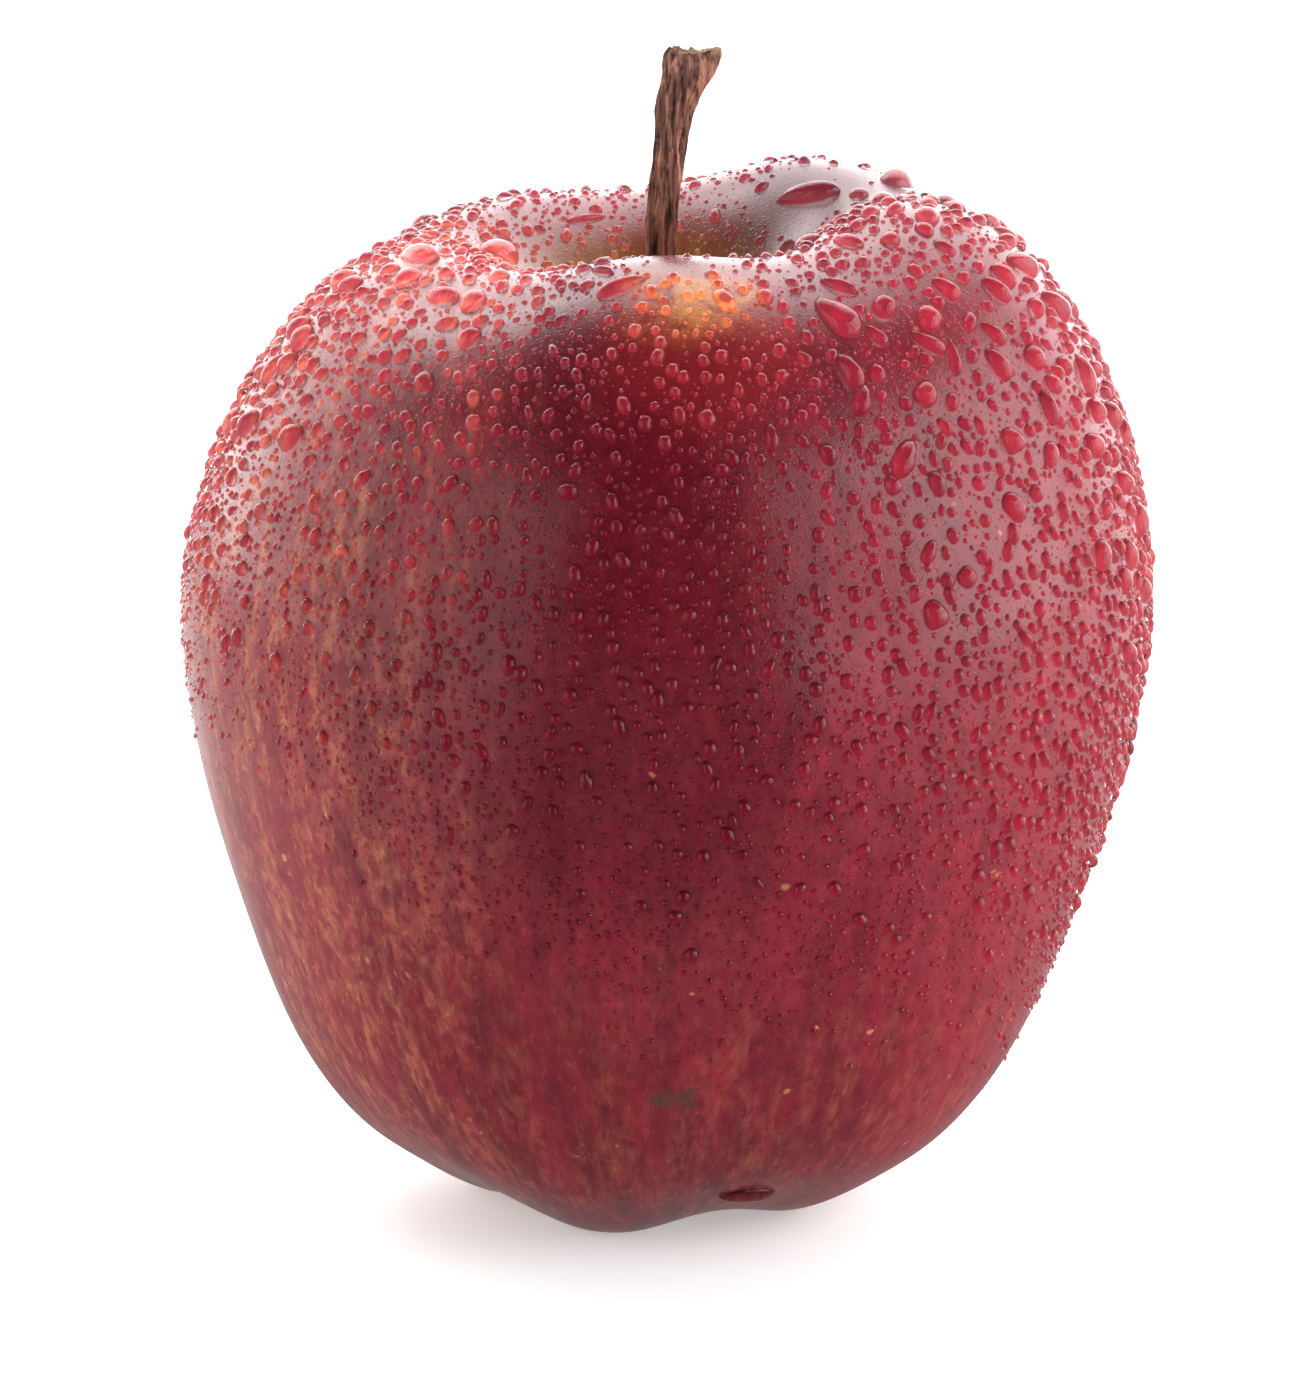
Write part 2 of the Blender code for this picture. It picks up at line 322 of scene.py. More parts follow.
# ==== Materials ====
def skin_material():
    made, graph, shader = new_material("apple_skin")
    place = graph.group(make_fruit_directions(), {})
    here, up, out = place["Place"], place["Height"], place["Out"]
    streaks, spots = make_streaks(), make_spot_mask()

    def streak(fineness, breaks, low, high, shift):
        inputs = {"Around": place["Around"], "Meridian": place["Meridian"], "Fineness": fineness}
        inputs.update({"Breaks": breaks, "Low": low, "High": high, "Shift": shift})
        return graph.group(streaks, inputs)["Streak"]

    def spot(middle, stretch, radius, ragged, grain):
        """A spot mask, with its middle and radius in millimetres."""
        inputs = {"Place": here, "Middle": [x * MM for x in middle], "Stretch": stretch}
        inputs.update({"Radius": radius * MM, "Ragged": ragged, "Grain": grain})
        return graph.group(spots, inputs)["Mask"]

    def facing(azimuth):
        """1 on the meridian at this azimuth, falling to -1 on the far side."""
        a = math.radians(azimuth)
        return graph.vector("DOT_PRODUCT", place["Around"], (math.cos(a), math.sin(a), 0.0))

    # crimson in broad, dark and light streaks, darkest down the middle of the front
    colour = graph.mix(streak(7.0, 1.6, 0.32, 0.70, 3.0), CRIMSON_DEEP, CRIMSON)
    colour = graph.mix(graph.times(streak(17.0, 7.0, 0.38, 0.76, 11.0), 0.6), colour, RED_BRIGHT)
    sunny = graph.ease(facing(SUNNY_SIDE), 0.92, 0.985, 0.0, 0.75)
    sunny = graph.times(sunny, graph.ease(up, 24 * MM, 44 * MM))
    colour = graph.mix(sunny, colour, CRIMSON_DEEP)
    # the flanks and the base show more of the orange ground
    flank = graph.ease(facing(SUNNY_SIDE), 0.90, 0.60, 0.0, 0.6)
    colour = graph.mix(flank, colour, RED_BRIGHT)
    left = graph.ease(facing(PALE_LEFT), 0.40, 0.96, 0.0, 1.6)
    right = graph.ease(facing(PALE_RIGHT), 0.72, 1.0, 0.0, 0.4)
    low = graph.ease(up, 36 * MM, 10 * MM, 0.0, 0.45)
    ground = graph.math("MAXIMUM", graph.math("MAXIMUM", left, right), low)
    ground = graph.plus(graph.times(ground, 0.75), 0.08)
    soft = graph.math("MULTIPLY_ADD", streak(13.0, 3.5, 0.34, 0.70, 23.0), 0.6, 0.1)
    speckle = graph.math("MULTIPLY_ADD", streak(34.0, 22.0, 0.36, 0.66, 41.0), 1.15, 0.1)
    share = graph.times(graph.times(soft, speckle), ground, clamp=True)
    colour = graph.mix(share, colour, ORANGE)
    gold = graph.times(streak(52.0, 34.0, 0.55, 0.80, 83.0), ground, clamp=True)
    colour = graph.mix(graph.times(gold, 0.5), colour, YELLOW)
    dark = graph.times(streak(18.0, 8.0, 0.44, 0.72, 57.0), 0.5)
    colour = graph.mix(dark, colour, CRIMSON_DEEP)
    flesh = graph.span(graph.noise(here, 800.0, detail=4.0, roughness=0.7), 0.3, 0.7, 0.82, 1.20)
    colour = graph.mix(1.0, colour, graph.whole(flesh, flesh, flesh), blend="MULTIPLY")
    # the orange patch under the front of the crown, broken up by red
    torn = graph.span(graph.noise(here, 520.0, detail=4.0, roughness=0.7), 0.40, 0.56, 0.15, 1.0)
    halo = spot((3.2, -28.6, 76.0), (0.8, 0.6, 0.85), 9.5, 0.8, 190.0)
    colour = graph.mix(graph.times(halo, 0.45), colour, PATCH_HALO)
    patch = spot((2.2, -26.6, 78.9), (0.85, 0.8, 1.4), 6.4, 1.0, 260.0)
    colour = graph.mix(graph.times(patch, torn, 0.8), colour, PATCH_ORANGE)
    patch = spot((2.9, -26.2, 79.1), (0.9, 0.8, 1.5), 4.6, 1.3, 420.0)
    colour = graph.mix(graph.times(patch, torn, 0.65), colour, PATCH_YELLOW)
    # the cavity: green near the stalk, then russet
    above_core = graph.span(up, 58 * MM, 64 * MM)
    deep = graph.times(graph.ease(out, 16 * MM, 10 * MM), above_core, 0.85)
    colour = graph.mix(deep, colour, RUSSET)
    deeper = graph.times(graph.ease(out, 13.5 * MM, 7.5 * MM), above_core, 0.95)
    rays = streak(10.0, 3.0, 0.35, 0.65, 71.0)
    green = graph.mix(graph.times(rays, 0.8), CAVITY_GREEN, RUSSET)
    colour = graph.mix(deeper, colour, green)
    # pale breathing spots, ragged and of uneven size
    bent = graph.node("ShaderNodeTexNoise", {"Vector": here, "Scale": 1500.0, "Detail": 2.0})
    bent = graph.scaled(bent.outputs["Color"], 0.7 * MM)
    cells = graph.cells(graph.vector("ADD", here, bent), 300.0)
    chance = graph.node("ShaderNodeSeparateColor", {0: cells["Color"]}).outputs
    size = graph.span(chance[0], 0.2, 1.0, 0.0, 0.13)
    dot = graph.ease(graph.math("SUBTRACT", size, cells["Distance"]), 0.0, 0.07)
    dot = graph.times(dot, graph.span(chance[1], 0.0, 1.0, 0.2, 0.8))
    colour = graph.mix(dot, colour, LENTICEL)
    # painted shade: the hollow behind the crown is painted the darkest red of all
    hollow_shade = spot((14.5, 11.5, 80.0), (1.0, 1.0, 1.0), 15.0, 0.4, 120.0)
    colour = graph.mix(graph.times(hollow_shade, 0.85), colour, CRIMSON_DEEP)
    # one small healed scar
    scar = graph.times(spot((0.8, -29.3, 16.0), (1.0, 0.6, 1.5), 2.3, 2.2, 650.0), 0.8)
    colour = graph.mix(scar, colour, SCAR)
    smear = graph.span(graph.noise(here, 90.0), 0.3, 0.7, 0.20, 0.27)
    graph.fill(shader, {"Base Color": colour, "Roughness": smear, "IOR": 1.42})

    # a breath of dew, too fine to be drops of its own
    dew = graph.cells(here, 3300.0)["Distance"]
    damp = graph.plus(up, graph.times(facing(DEWY_SIDE), 12 * MM))
    damp = graph.ease(damp, 18 * MM, 42 * MM)
    bead = graph.times(graph.ease(dew, 0.42, 0.0), damp)
    grain = graph.noise(here, 2600.0, detail=2.0)
    waves = graph.noise(here, 120.0, detail=2.0)
    height = graph.math("MULTIPLY_ADD", grain, 0.010, graph.times(waves, 0.10))
    height = graph.plus(height, graph.times(graph.math("MAXIMUM", dot, scar), 0.02))
    height = graph.math("MULTIPLY_ADD", bead, 0.03, height)
    graph.relief(shader, height, strength=0.6, depth=MM)

    # under a drop the wax no longer shines, and the red is painted brighter: painted light in place of the
    # light that the drop gathers, more on the dimly lit side
    painted_glow_dim_side = graph.ease(facing(DIM_SIDE), 0.3, 0.95, 1.0, WET_PAINTED_GLOW_DIM_SIDE)
    glow = graph.mix(1.0, colour, WET_PAINTED_GLOW, blend="MULTIPLY")
    glow = graph.mix(1.0, glow, graph.whole(painted_glow_dim_side, painted_glow_dim_side, painted_glow_dim_side), blend="MULTIPLY")
    inputs = {"Base Color": glow, "Roughness": 0.6, "Specular IOR Level": 0.05}
    wet = graph.node("ShaderNodeBsdfPrincipled", inputs)
    graph.surface(graph.mixed_shader(graph.ray("Transmission"), shader, wet))
    return made


def water_material():
    """Clear in a drop's lower half, with painted shade darkening it towards its upper edge, where a real
    drop bends the light away.
    """
    made, graph, shader = new_material("water")
    uneven = graph.span(graph.noise(graph.object_place(), 60.0), 0.3, 0.7, 0.9, 1.0)
    tint = graph.mix(graph.times(graph.layer("edge"), uneven), WATER_CLEAR, WATER_PAINTED_SHADE)
    graph.fill(shader, {"Base Color": tint, "Roughness": 0.0, "IOR": WATER_IOR, "Transmission Weight": 1.0})
    clear = graph.node("ShaderNodeBsdfTransparent")
    graph.surface(graph.mixed_shader(graph.ray("Shadow"), shader, clear))
    return made


def bark_material():
    made, graph, shader = new_material("bark")
    place = graph.object_place()
    stretched = graph.vector("MULTIPLY", place, (1.0, 1.0, 0.11))
    ridges = graph.noise(stretched, 1700.0, detail=5.0, roughness=0.68, distortion=0.3)
    colour = graph.mix(graph.span(ridges, 0.38, 0.58), BARK_DARK, BARK_BROWN)
    blotches = graph.noise(place, 420.0, detail=4.0)
    # tan patches and painted highlight, both on the ridge tops
    tan_and_highlight = graph.times(graph.span(ridges, 0.52, 0.64), graph.span(blotches, 0.40, 0.60))
    colour = graph.mix(tan_and_highlight, colour, BARK_TAN_AND_HIGHLIGHT)
    crossed = graph.vector("MULTIPLY", place, (1.0, 1.0, 0.3))
    crossed = graph.noise(crossed, 1100.0, detail=4.0, roughness=0.7)
    crack = graph.ease(crossed, 0.38, 0.32, 0.0, 0.75)
    colour = graph.mix(crack, colour, BARK_CRACK)
    grey = graph.span(graph.noise(place, 900.0), 0.64, 0.74, 0.0, 0.5)
    colour = graph.mix(grey, colour, BARK_GREY)
    pale = graph.mix(graph.noise(stretched, 2600.0), WOOD_DARK, WOOD_PALE)
    colour = graph.mix(graph.layer("broken"), colour, pale)
    graph.fill(shader, {"Base Color": colour, "Roughness": 0.8, "IOR": 1.4})
    height = graph.math("SUBTRACT", ridges, graph.times(crack, 0.35))
    graph.relief(shader, height, strength=1.0, depth=0.6 * MM)
    return made


def dry_material(name, dark, light, grain):
    made, graph, shader = new_material(name)
    stretched = graph.vector("MULTIPLY", graph.object_place(), (1.0, 1.0, 0.3))
    fibres = graph.noise(stretched, grain, detail=4.0)
    colour = graph.mix(graph.span(fibres, 0.35, 0.65), dark, light)
    graph.fill(shader, {"Base Color": colour, "Roughness": 0.9})
    graph.relief(shader, fibres, strength=0.7, depth=0.2 * MM)
    return made


# ==== Meshes ====
def lumps(x, y, z):
    """Smooth unevenness, about -1 to 1."""
    return noise.noise(Vector((x, y, z)))


def add_object(name, data):
    made = bpy.data.objects.new(name, data)
    bpy.context.scene.collection.objects.link(made)
    return made


def add_piece(name, mesh, material):
    mesh.materials.append(material)
    return add_object(name, mesh)


def finished(builder, name, smooth=True):
    """The mesh that was built, and its builder put away."""
    mesh = bpy.data.meshes.new(name)
    builder.to_mesh(mesh)
    builder.free()
    if smooth:
        mesh.shade_smooth()
    return mesh


def bridge(builder, inner, outer):
    """The band of faces between two rings."""
    sides = len(inner)
    for k in range(sides):
        j = (k + 1) % sides
        builder.faces.new((inner[k], outer[k], outer[j], inner[j]))


def fan(builder, tip, ring):
    """The faces between a tip and the ring round it."""
    for k in range(len(ring)):
        builder.faces.new((tip, ring[k], ring[(k + 1) % len(ring)]))


def dome(builder, summit, loops):
    """The faces of a drop, from its summit down its rings, and one that closes it underneath."""
    fan(builder, summit, loops[0])
    for inner, outer in zip(loops, loops[1:]):
        bridge(builder, inner, outer)
    builder.faces.new(list(reversed(loops[-1])))


def baked(source, name):
    """The evaluated mesh of an object, as a plain mesh with no modifiers left. The object goes."""
    graph = bpy.context.evaluated_depsgraph_get()
    mesh = bpy.data.meshes.new_from_object(source.evaluated_get(graph))
    mesh.name = name
    bpy.data.objects.remove(source)
    return mesh


def drop_layers(mesh, beginnings):
    """Takes away the values that were only needed while building."""
    for layer in [a.name for a in mesh.attributes if a.name.startswith(beginnings)]:
        mesh.attributes.remove(mesh.attributes[layer])


def fruit_mesh():
    """A finer copy of the CAD fruit, rounded between its facets."""
    builder = bmesh.new()
    builder.from_mesh(frame["nodes"]["apple_fruit"].data)
    bmesh.ops.remove_doubles(builder, verts=builder.verts, dist=0.01 * MM)
    bmesh.ops.join_triangles(
        builder,
        faces=builder.faces,
        angle_face_threshold=math.radians(50),
        angle_shape_threshold=math.radians(60),
    )
    bmesh.ops.recalc_face_normals(builder, faces=builder.faces)
    rough = add_object("rough_skin", finished(builder, "rough_skin", smooth=False))
    finer = rough.modifiers.new("finer", "SUBSURF")
    finer.levels = finer.render_levels = 2
    finer.use_limit_surface = True
    fine = baked(rough, "skin")
    fine.materials.clear()
    fine.shade_smooth()
    return fine


def toward(azimuth, centre, width):
    """1 at the centre azimuth, falling off over width, all in degrees."""
    away = (azimuth - centre + 180.0) % 360.0 - 180.0
    return np.exp(-((away / width) ** 2))


def ramp(value, low, high):
    share = np.clip((value - low) / (high - low), 0.0, 1.0)
    return share * share * (3 - 2 * share)


def wet_zones(mesh):
    """Where each size of drop lies on the skin, as vertex attributes from 0 to 1."""
    corners = np.zeros(len(mesh.vertices) * 3)
    mesh.vertices.foreach_get("co", corners)
    x, y, z = (corners.reshape(-1, 3) / MM).T
    azimuth = np.degrees(np.arctan2(y, x))
    out = np.hypot(x, y)
    right = toward(azimuth, -15.0, 58.0)
    left = toward(azimuth, 195.0, 50.0)
    back = toward(azimuth, 90.0, 50.0)
    front = toward(azimuth, -92.0, 22.0)
    foot_of_wet = 17.0 + 22.0 * toward(azimuth, 197.0, 42.0) - 5.0 * toward(azimuth, -20.0, 45.0)
    in_cavity = ramp(out, 15.0, 9.0) * ramp(z, 55.0, 62.0)
    shoulder = ramp(z, 60.0, 74.0) * ramp(out, 14.0, 20.0)
    # the valley at the right of the crown and a strip along its front lip stay almost dry
    valley = toward(azimuth, 38.0, 27.0) * ramp(z, 76.0, 80.0)
    valley = valley * ramp(out, 9.0, 13.0) * ramp(out, 27.0, 22.0)
    strip = toward(azimuth, -82.0, 26.0) * ramp(z, 79.6, 80.6) * ramp(out, 12.0, 15.0)
    bare = np.clip(1.0 - valley - 0.85 * strip, 0.0, 1.0)
    large = right * (0.4 * ramp(z, 42.0, 60.0) + 0.6 * shoulder) + 0.4 * left * shoulder
    large = large * (1.0 - 0.9 * back) * bare * (1.0 - 0.85 * front) * (1.0 - in_cavity)
    medium = 0.50 + 0.50 * right + 0.2 * left * ramp(z, 40.0, 65.0) + 0.2 * shoulder
    medium = medium * ramp(z, foot_of_wet + 8.0, foot_of_wet + 34.0)
    medium = medium * bare * (1.0 - 0.5 * in_cavity) * (1.0 - 0.55 * back * ramp(z, 70.0, 78.0))
    small = ramp(z, foot_of_wet, foot_of_wet + 16.0) * bare * (1.0 - 0.5 * in_cavity)
    mist = ramp(z, foot_of_wet - 4.0, foot_of_wet + 14.0) * bare * (1.0 - 0.6 * in_cavity)
    steep = 1.0 - ramp(z, 70.0, 77.0)
    zones = {"large": large, "medium": medium, "small": small, "mist": mist, "steep": steep}
    for name, values in zones.items():
        layer = mesh.attributes.new("wet_" + name, "FLOAT", "POINT")
        layer.data.foreach_set("value", np.clip(values, 0.0, 1.0).astype(np.float32))


# ---- the shapes of single drops ----
DROP_SINK = 0.07  # how far a strewn drop goes below the skin, as a share of its radius
LAID_DROP_SINK = 0.12  # and a listed one, in millimetres
DROP_LOBES = 0.28  # how uneven the outline of a strewn drop is


def edge_shade(share, uphill):
    """The painted shade of a drop at a share of its radius, where uphill runs from -1 to 1 around it."""
    near = min(1.0, max(0.0, (share - 0.5) / 0.5))
    return near * near * (0.60 + 0.40 * uphill)


def drop_mesh(name, sides, rings, height, outline, sag):
    """A drop lying on the plane z = 0 with the top of the hill towards +Y, about 1 in radius.

    outline(angle) is its radius at an angle, and sag moves its thickest part downhill.
    """
    builder = bmesh.new()
    # painted shade on each corner, darkest at the drop's uphill edge
    edge = builder.verts.layers.float.new("edge")
    summit = builder.verts.new((0.0, -sag * 0.5, height))
    loops = []
    for i in range(1, rings + 1):
        share = math.sin(0.5 * math.pi * i / rings)
        rise = height * max(0.0, 1.0 - share * share) ** 0.6 if i < rings else -DROP_SINK
        slide = -sag * 0.5 * (1.0 - share**2)
        loop = []
        for k in range(sides):
            angle = 2 * math.pi * k / sides
            reach = outline(angle) * share
            vertex = builder.verts.new((reach * math.cos(angle), reach * math.sin(angle) + slide, rise))
            vertex[edge] = edge_shade(share, math.sin(angle))
            loop.append(vertex)
        loops.append(loop)
    dome(builder, summit, loops)
    layer = builder.verts.layers.float.new("rise")
    for vertex in builder.verts:
        vertex[layer] = vertex.co.z
    return finished(builder, name, smooth=False)


def wobbly(seed, strength, stretch, tail):
    """An outline with smooth lobes, stretched downhill, with an optional narrow end uphill."""

    def outline(angle):
        place = Vector((math.cos(angle) * 0.9, math.sin(angle) * 0.9, seed * 7.31))
        radius = 1.0 + strength * noise.noise(place)
        along, across = stretch, 1.0 / math.sqrt(stretch)
        radius /= math.hypot(math.cos(angle) / across, math.sin(angle) / along)
        return radius * (1.0 + tail * max(0.0, math.sin(angle)) ** 6)

    return outline


def shape_collection(name, sides, rings, height, outlines):
    """A collection of drop shapes for instances to pick from."""
    shapes = bpy.data.collections.new(name)
    for i, (outline, sag) in enumerate(outlines):
        shape = drop_mesh(f"{name}_{i}", sides, rings, height, outline, sag)
        shapes.objects.link(bpy.data.objects.new(f"{name}_{i}", shape))
    return shapes


# ---- the big drops that are laid one by one ----
# One row each: azimuth and latitude of the place as seen from the heart (degrees), half length,
# half width and height (mm), turn of the narrow end from uphill towards the right (degrees), and
# how much it narrows.
BIG_DROPS = (
    (40, 69, 2.8, 1.5, 1.15, -112, 0.45),
    (35, 60, 2.3, 1.6, 1.15, -80, 0.2),
    (27, 66, 0.85, 0.8, 0.5, -97, 0.1),
    (22, 62, 0.9, 0.6, 0.18, -90, 0.1),
    (-98, 57, 2.0, 1.0, 0.8, 44, 0.35),
    (-103, 60.5, 1.2, 0.42, 0.5, -95, 0.2),
    (169, 69, 2.1, 1.7, 1.25, -70, 0.2),
    (-61, 52, 2.4, 1.9, 1.1, -26, 0.5),
    (-45, 45, 1.75, 0.85, 0.8, 13, 0.75),
    (117, 69, 1.9, 0.42, 0.38, -94, 0.1),
    (-71, -61, 2.5, 1.3, 0.7, -85, 0.2),
    (-52, 52, 1.15, 1.1, 1.05, 8, 0.1),
    (-162, 61, 2.0, 1.4, 1.1, -100, 0.15),
    (-18, 51, 1.9, 1.3, 1.05, -54, 0.4),
    (-17, 46, 1.75, 1.3, 1.05, -31, 0.35),
    (-26, 51, 1.3, 1.0, 0.85, -23, 0.3),
    (-30, 50, 1.45, 1.0, 0.85, -29, 0.35),
    (-39, 52, 1.35, 1.0, 0.8, -34, 0.35),
    (-57, 56, 1.6, 0.8, 0.7, -56, 0.3),
    (-44, 63, 1.5, 0.8, 0.65, -70, 0.2),
    (-48, 47, 1.65, 0.75, 0.7, -51, 0.25),
    (-36, 46, 1.3, 0.85, 0.75, -39, 0.4),
    (-56, 49, 1.15, 0.85, 0.7, -30, 0.5),
    (-137, 56, 1.6, 1.05, 0.85, -100, 0.2),
    (-130, 52, 1.0, 0.75, 0.65, -118, 0.2),
    (-99, 2, 1.0, 0.75, 0.65, -8, 0.35),
    (-102, 33, 0.85, 0.8, 0.65, -78, 0.1),
)


def big_drops(skin_mesh, water):
    """The listed drops as one piece, and the spots that the strewn drops keep clear of."""
    shape = bmesh.new()
    shape.from_mesh(skin_mesh)
    ground = BVHTree.FromBMesh(shape)
    shape.free()
    builder = bmesh.new()
    # painted shade on each corner, darkest at the drop's uphill edge
    edge = builder.verts.layers.float.new("edge")
    spots = []
    sides, rings = 40, 9
    for number, (azimuth, latitude, length, width, height, turn, narrow) in enumerate(BIG_DROPS):
        a, b = math.radians(azimuth), math.radians(latitude)
        outward = Vector((math.cos(a) * math.cos(b), math.sin(a) * math.cos(b), math.sin(b)))
        middle, normal = ground.ray_cast(HEART, outward)[:2]
        normal = -normal if normal.dot(outward) < 0 else normal
        uphill = (Vector((0, 0, 1)) - normal * normal.z).normalized()
        to_right = uphill.cross(normal).normalized()
        lean = math.radians(turn)
        along = uphill * math.cos(lean) + to_right * math.sin(lean)
        across = along.cross(normal).normalized()
        sag = -0.22 * narrow

        def narrowing(share):
            """Width left at a place between the fat end (-1) and the narrow end (1)."""
            return 1.0 - narrow * max(0.0, 0.5 + 0.5 * share) ** 0.8

        def drape(t, share, on_rim=False):
            """A corner of the drop, laid on the skin and lifted to the height it has there."""
            wobble = 1.0 + 0.16 * lumps(math.cos(t) * 1.1, math.sin(t) * 1.1, number * 3.1)
            y = math.cos(t)
            x = math.sin(t) * narrowing(y) * wobble * share
            y = sag + (y * wobble - sag) * share
            rise = 1.15 * height * max(0.0, 1.0 - share**2) ** 0.5 * narrowing(y) ** 0.7
            flat = middle + (along * (y * length) + across * (x * width)) * MM
            foot = ground.find_nearest(flat)[0]
            vertex = builder.verts.new(foot + normal * (-LAID_DROP_SINK if on_rim else rise) * MM)
            vertex[edge] = edge_shade(share, math.cos(t + lean))
            return vertex

        summit = drape(0.0, 0.0)
        loops = []
        for i in range(1, rings + 1):
            share = math.sin(0.5 * math.pi * i / rings)
            loops.append([drape(2 * math.pi * k / sides, share, i == rings) for k in range(sides)])
        dome(builder, summit, loops)
        for step in (-0.6, -0.2, 0.2, 0.6):
            spots.append((middle + along * (step * length * MM), width * narrowing(step) * MM))
    bmesh.ops.recalc_face_normals(builder, faces=builder.faces)
    laid = add_piece("drops_laid", finished(builder, "drops_laid"), water)
    taken = bpy.data.meshes.new("laid_spots")
    taken.from_pydata([place for place, _ in spots], [], [])
    reach = taken.attributes.new("drop_radius", "FLOAT", "POINT")
    reach.data.foreach_set("value", [radius for _, radius in spots])
    return laid, add_object("laid_spots", taken)


# ---- strewing the other drops ----
# Most drops per square metre, the least way between two and their smallest and largest radius (mm),
# how rare the large ones are, and the seed of the draw.
TIERS = (
    dict(name="large", most=1.8e5, spacing=1.9, radius=(0.68, 1.15), rarity=1.4, seed=3),
    dict(name="medium", most=1.5e6, spacing=0.9, radius=(0.33, 0.64), rarity=1.1, seed=5),
    dict(name="small", most=1.2e6, spacing=0.60, radius=(0.16, 0.31), rarity=1.2, seed=8),
    dict(name="mist", most=1.5e6, spacing=0.45, radius=(0.07, 0.13), rarity=1.2, seed=13),
)
# Sides and rings of each drop, and its height as a share of its radius.
TIER_SHAPES = {"large": (20, 7, 0.9), "medium": (14, 5, 0.95), "small": (10, 4, 0.85), "mist": (7, 2, 0.7)}
STRETCHES = (1.0, 1.05, 1.1, 1.15, 1.2, 1.3)  # of the six shapes of each tier
QUARTERS = ("front_left", "front_right", "back_left", "back_right")
KEEP_CLEAR = 1.15  # how many times their radii two drops stay apart
MOST_TURN = 0.6  # how far a drop turns from straight uphill, in radians


def make_scatter():
    """Points strewn on the skin, each with its own drop radius."""
    inputs = {"Geometry": "Skin", "String": "Zone", "Float": "Density Spacing Smallest Largest Rarity"}
    inputs["Int"] = "Seed"
    graph, start, end = new_group("strew_drops", "GeometryNodeTree", inputs, {"Geometry": "Drops"})
    inputs = {
        "Mesh": start["Skin"],
        "Distance Min": start["Spacing"],
        "Density Max": start["Density"],
        "Density Factor": graph.stored(start["Zone"]),
        "Seed": start["Seed"],
    }
    strewn = graph.node("GeometryNodeDistributePointsOnFaces", inputs, distribute_method="POISSON").outputs
    luck = graph.node("FunctionNodeRandomValue", {8: start["Seed"]}, data_type="FLOAT").outputs[1]
    luck = graph.math("POWER", luck, start["Rarity"])
    between = graph.math("SUBTRACT", start["Largest"], start["Smallest"])
    radius = graph.math("MULTIPLY_ADD", luck, between, start["Smallest"])
    points = graph.store(strewn["Points"], "drop_radius", radius)
    points = graph.store(points, "drop_normal", strewn["Normal"], "FLOAT_VECTOR")
    # of two neighbours that would touch, the smaller goes
    near = graph.node("GeometryNodeIndexOfNearest").outputs["Index"]

    def of_near(value, kind):
        inputs = {"Value": value, "Index": near}
        return graph.node("GeometryNodeFieldAtIndex", inputs, data_type=kind).outputs[0]

    own, here = graph.stored("drop_radius"), graph.position()
    theirs = of_near(own, "FLOAT")
    gap = graph.vector("DISTANCE", here, of_near(here, "FLOAT_VECTOR"))
    touching = graph.math("LESS_THAN", gap, graph.times(graph.plus(own, theirs), KEEP_CLEAR))
    smaller = graph.math("LESS_THAN", own, theirs)
    graph.join(graph.without(points, graph.times(touching, smaller)), end["Drops"])
    return graph.tree


def make_room():
    """Takes away each drop that would touch the nearest of the drops already there."""
    inputs = {"Geometry": "Drops Taken", "Float": "Reach"}
    graph, start, end = new_group("make_room", "GeometryNodeTree", inputs, {"Geometry": "Drops"})
    here, own = graph.position(), graph.stored("drop_radius")
    inputs = {"Geometry": start["Taken"], "Sample Position": here}
    nearest = graph.node("GeometryNodeSampleNearest", inputs, domain="POINT").outputs["Index"]

    def of_nearest(value, kind):
        inputs = {"Geometry": start["Taken"], "Value": value, "Index": nearest}
        return graph.node("GeometryNodeSampleIndex", inputs, data_type=kind, domain="POINT").outputs["Value"]

    there = of_nearest(graph.position(), "FLOAT_VECTOR")
    needed = graph.plus(graph.times(of_nearest(own, "FLOAT"), start["Reach"]), own)
    crowded = graph.math("LESS_THAN", graph.vector("DISTANCE", here, there), needed)
    graph.join(graph.without(start["Drops"], crowded), end["Drops"])
    return graph.tree


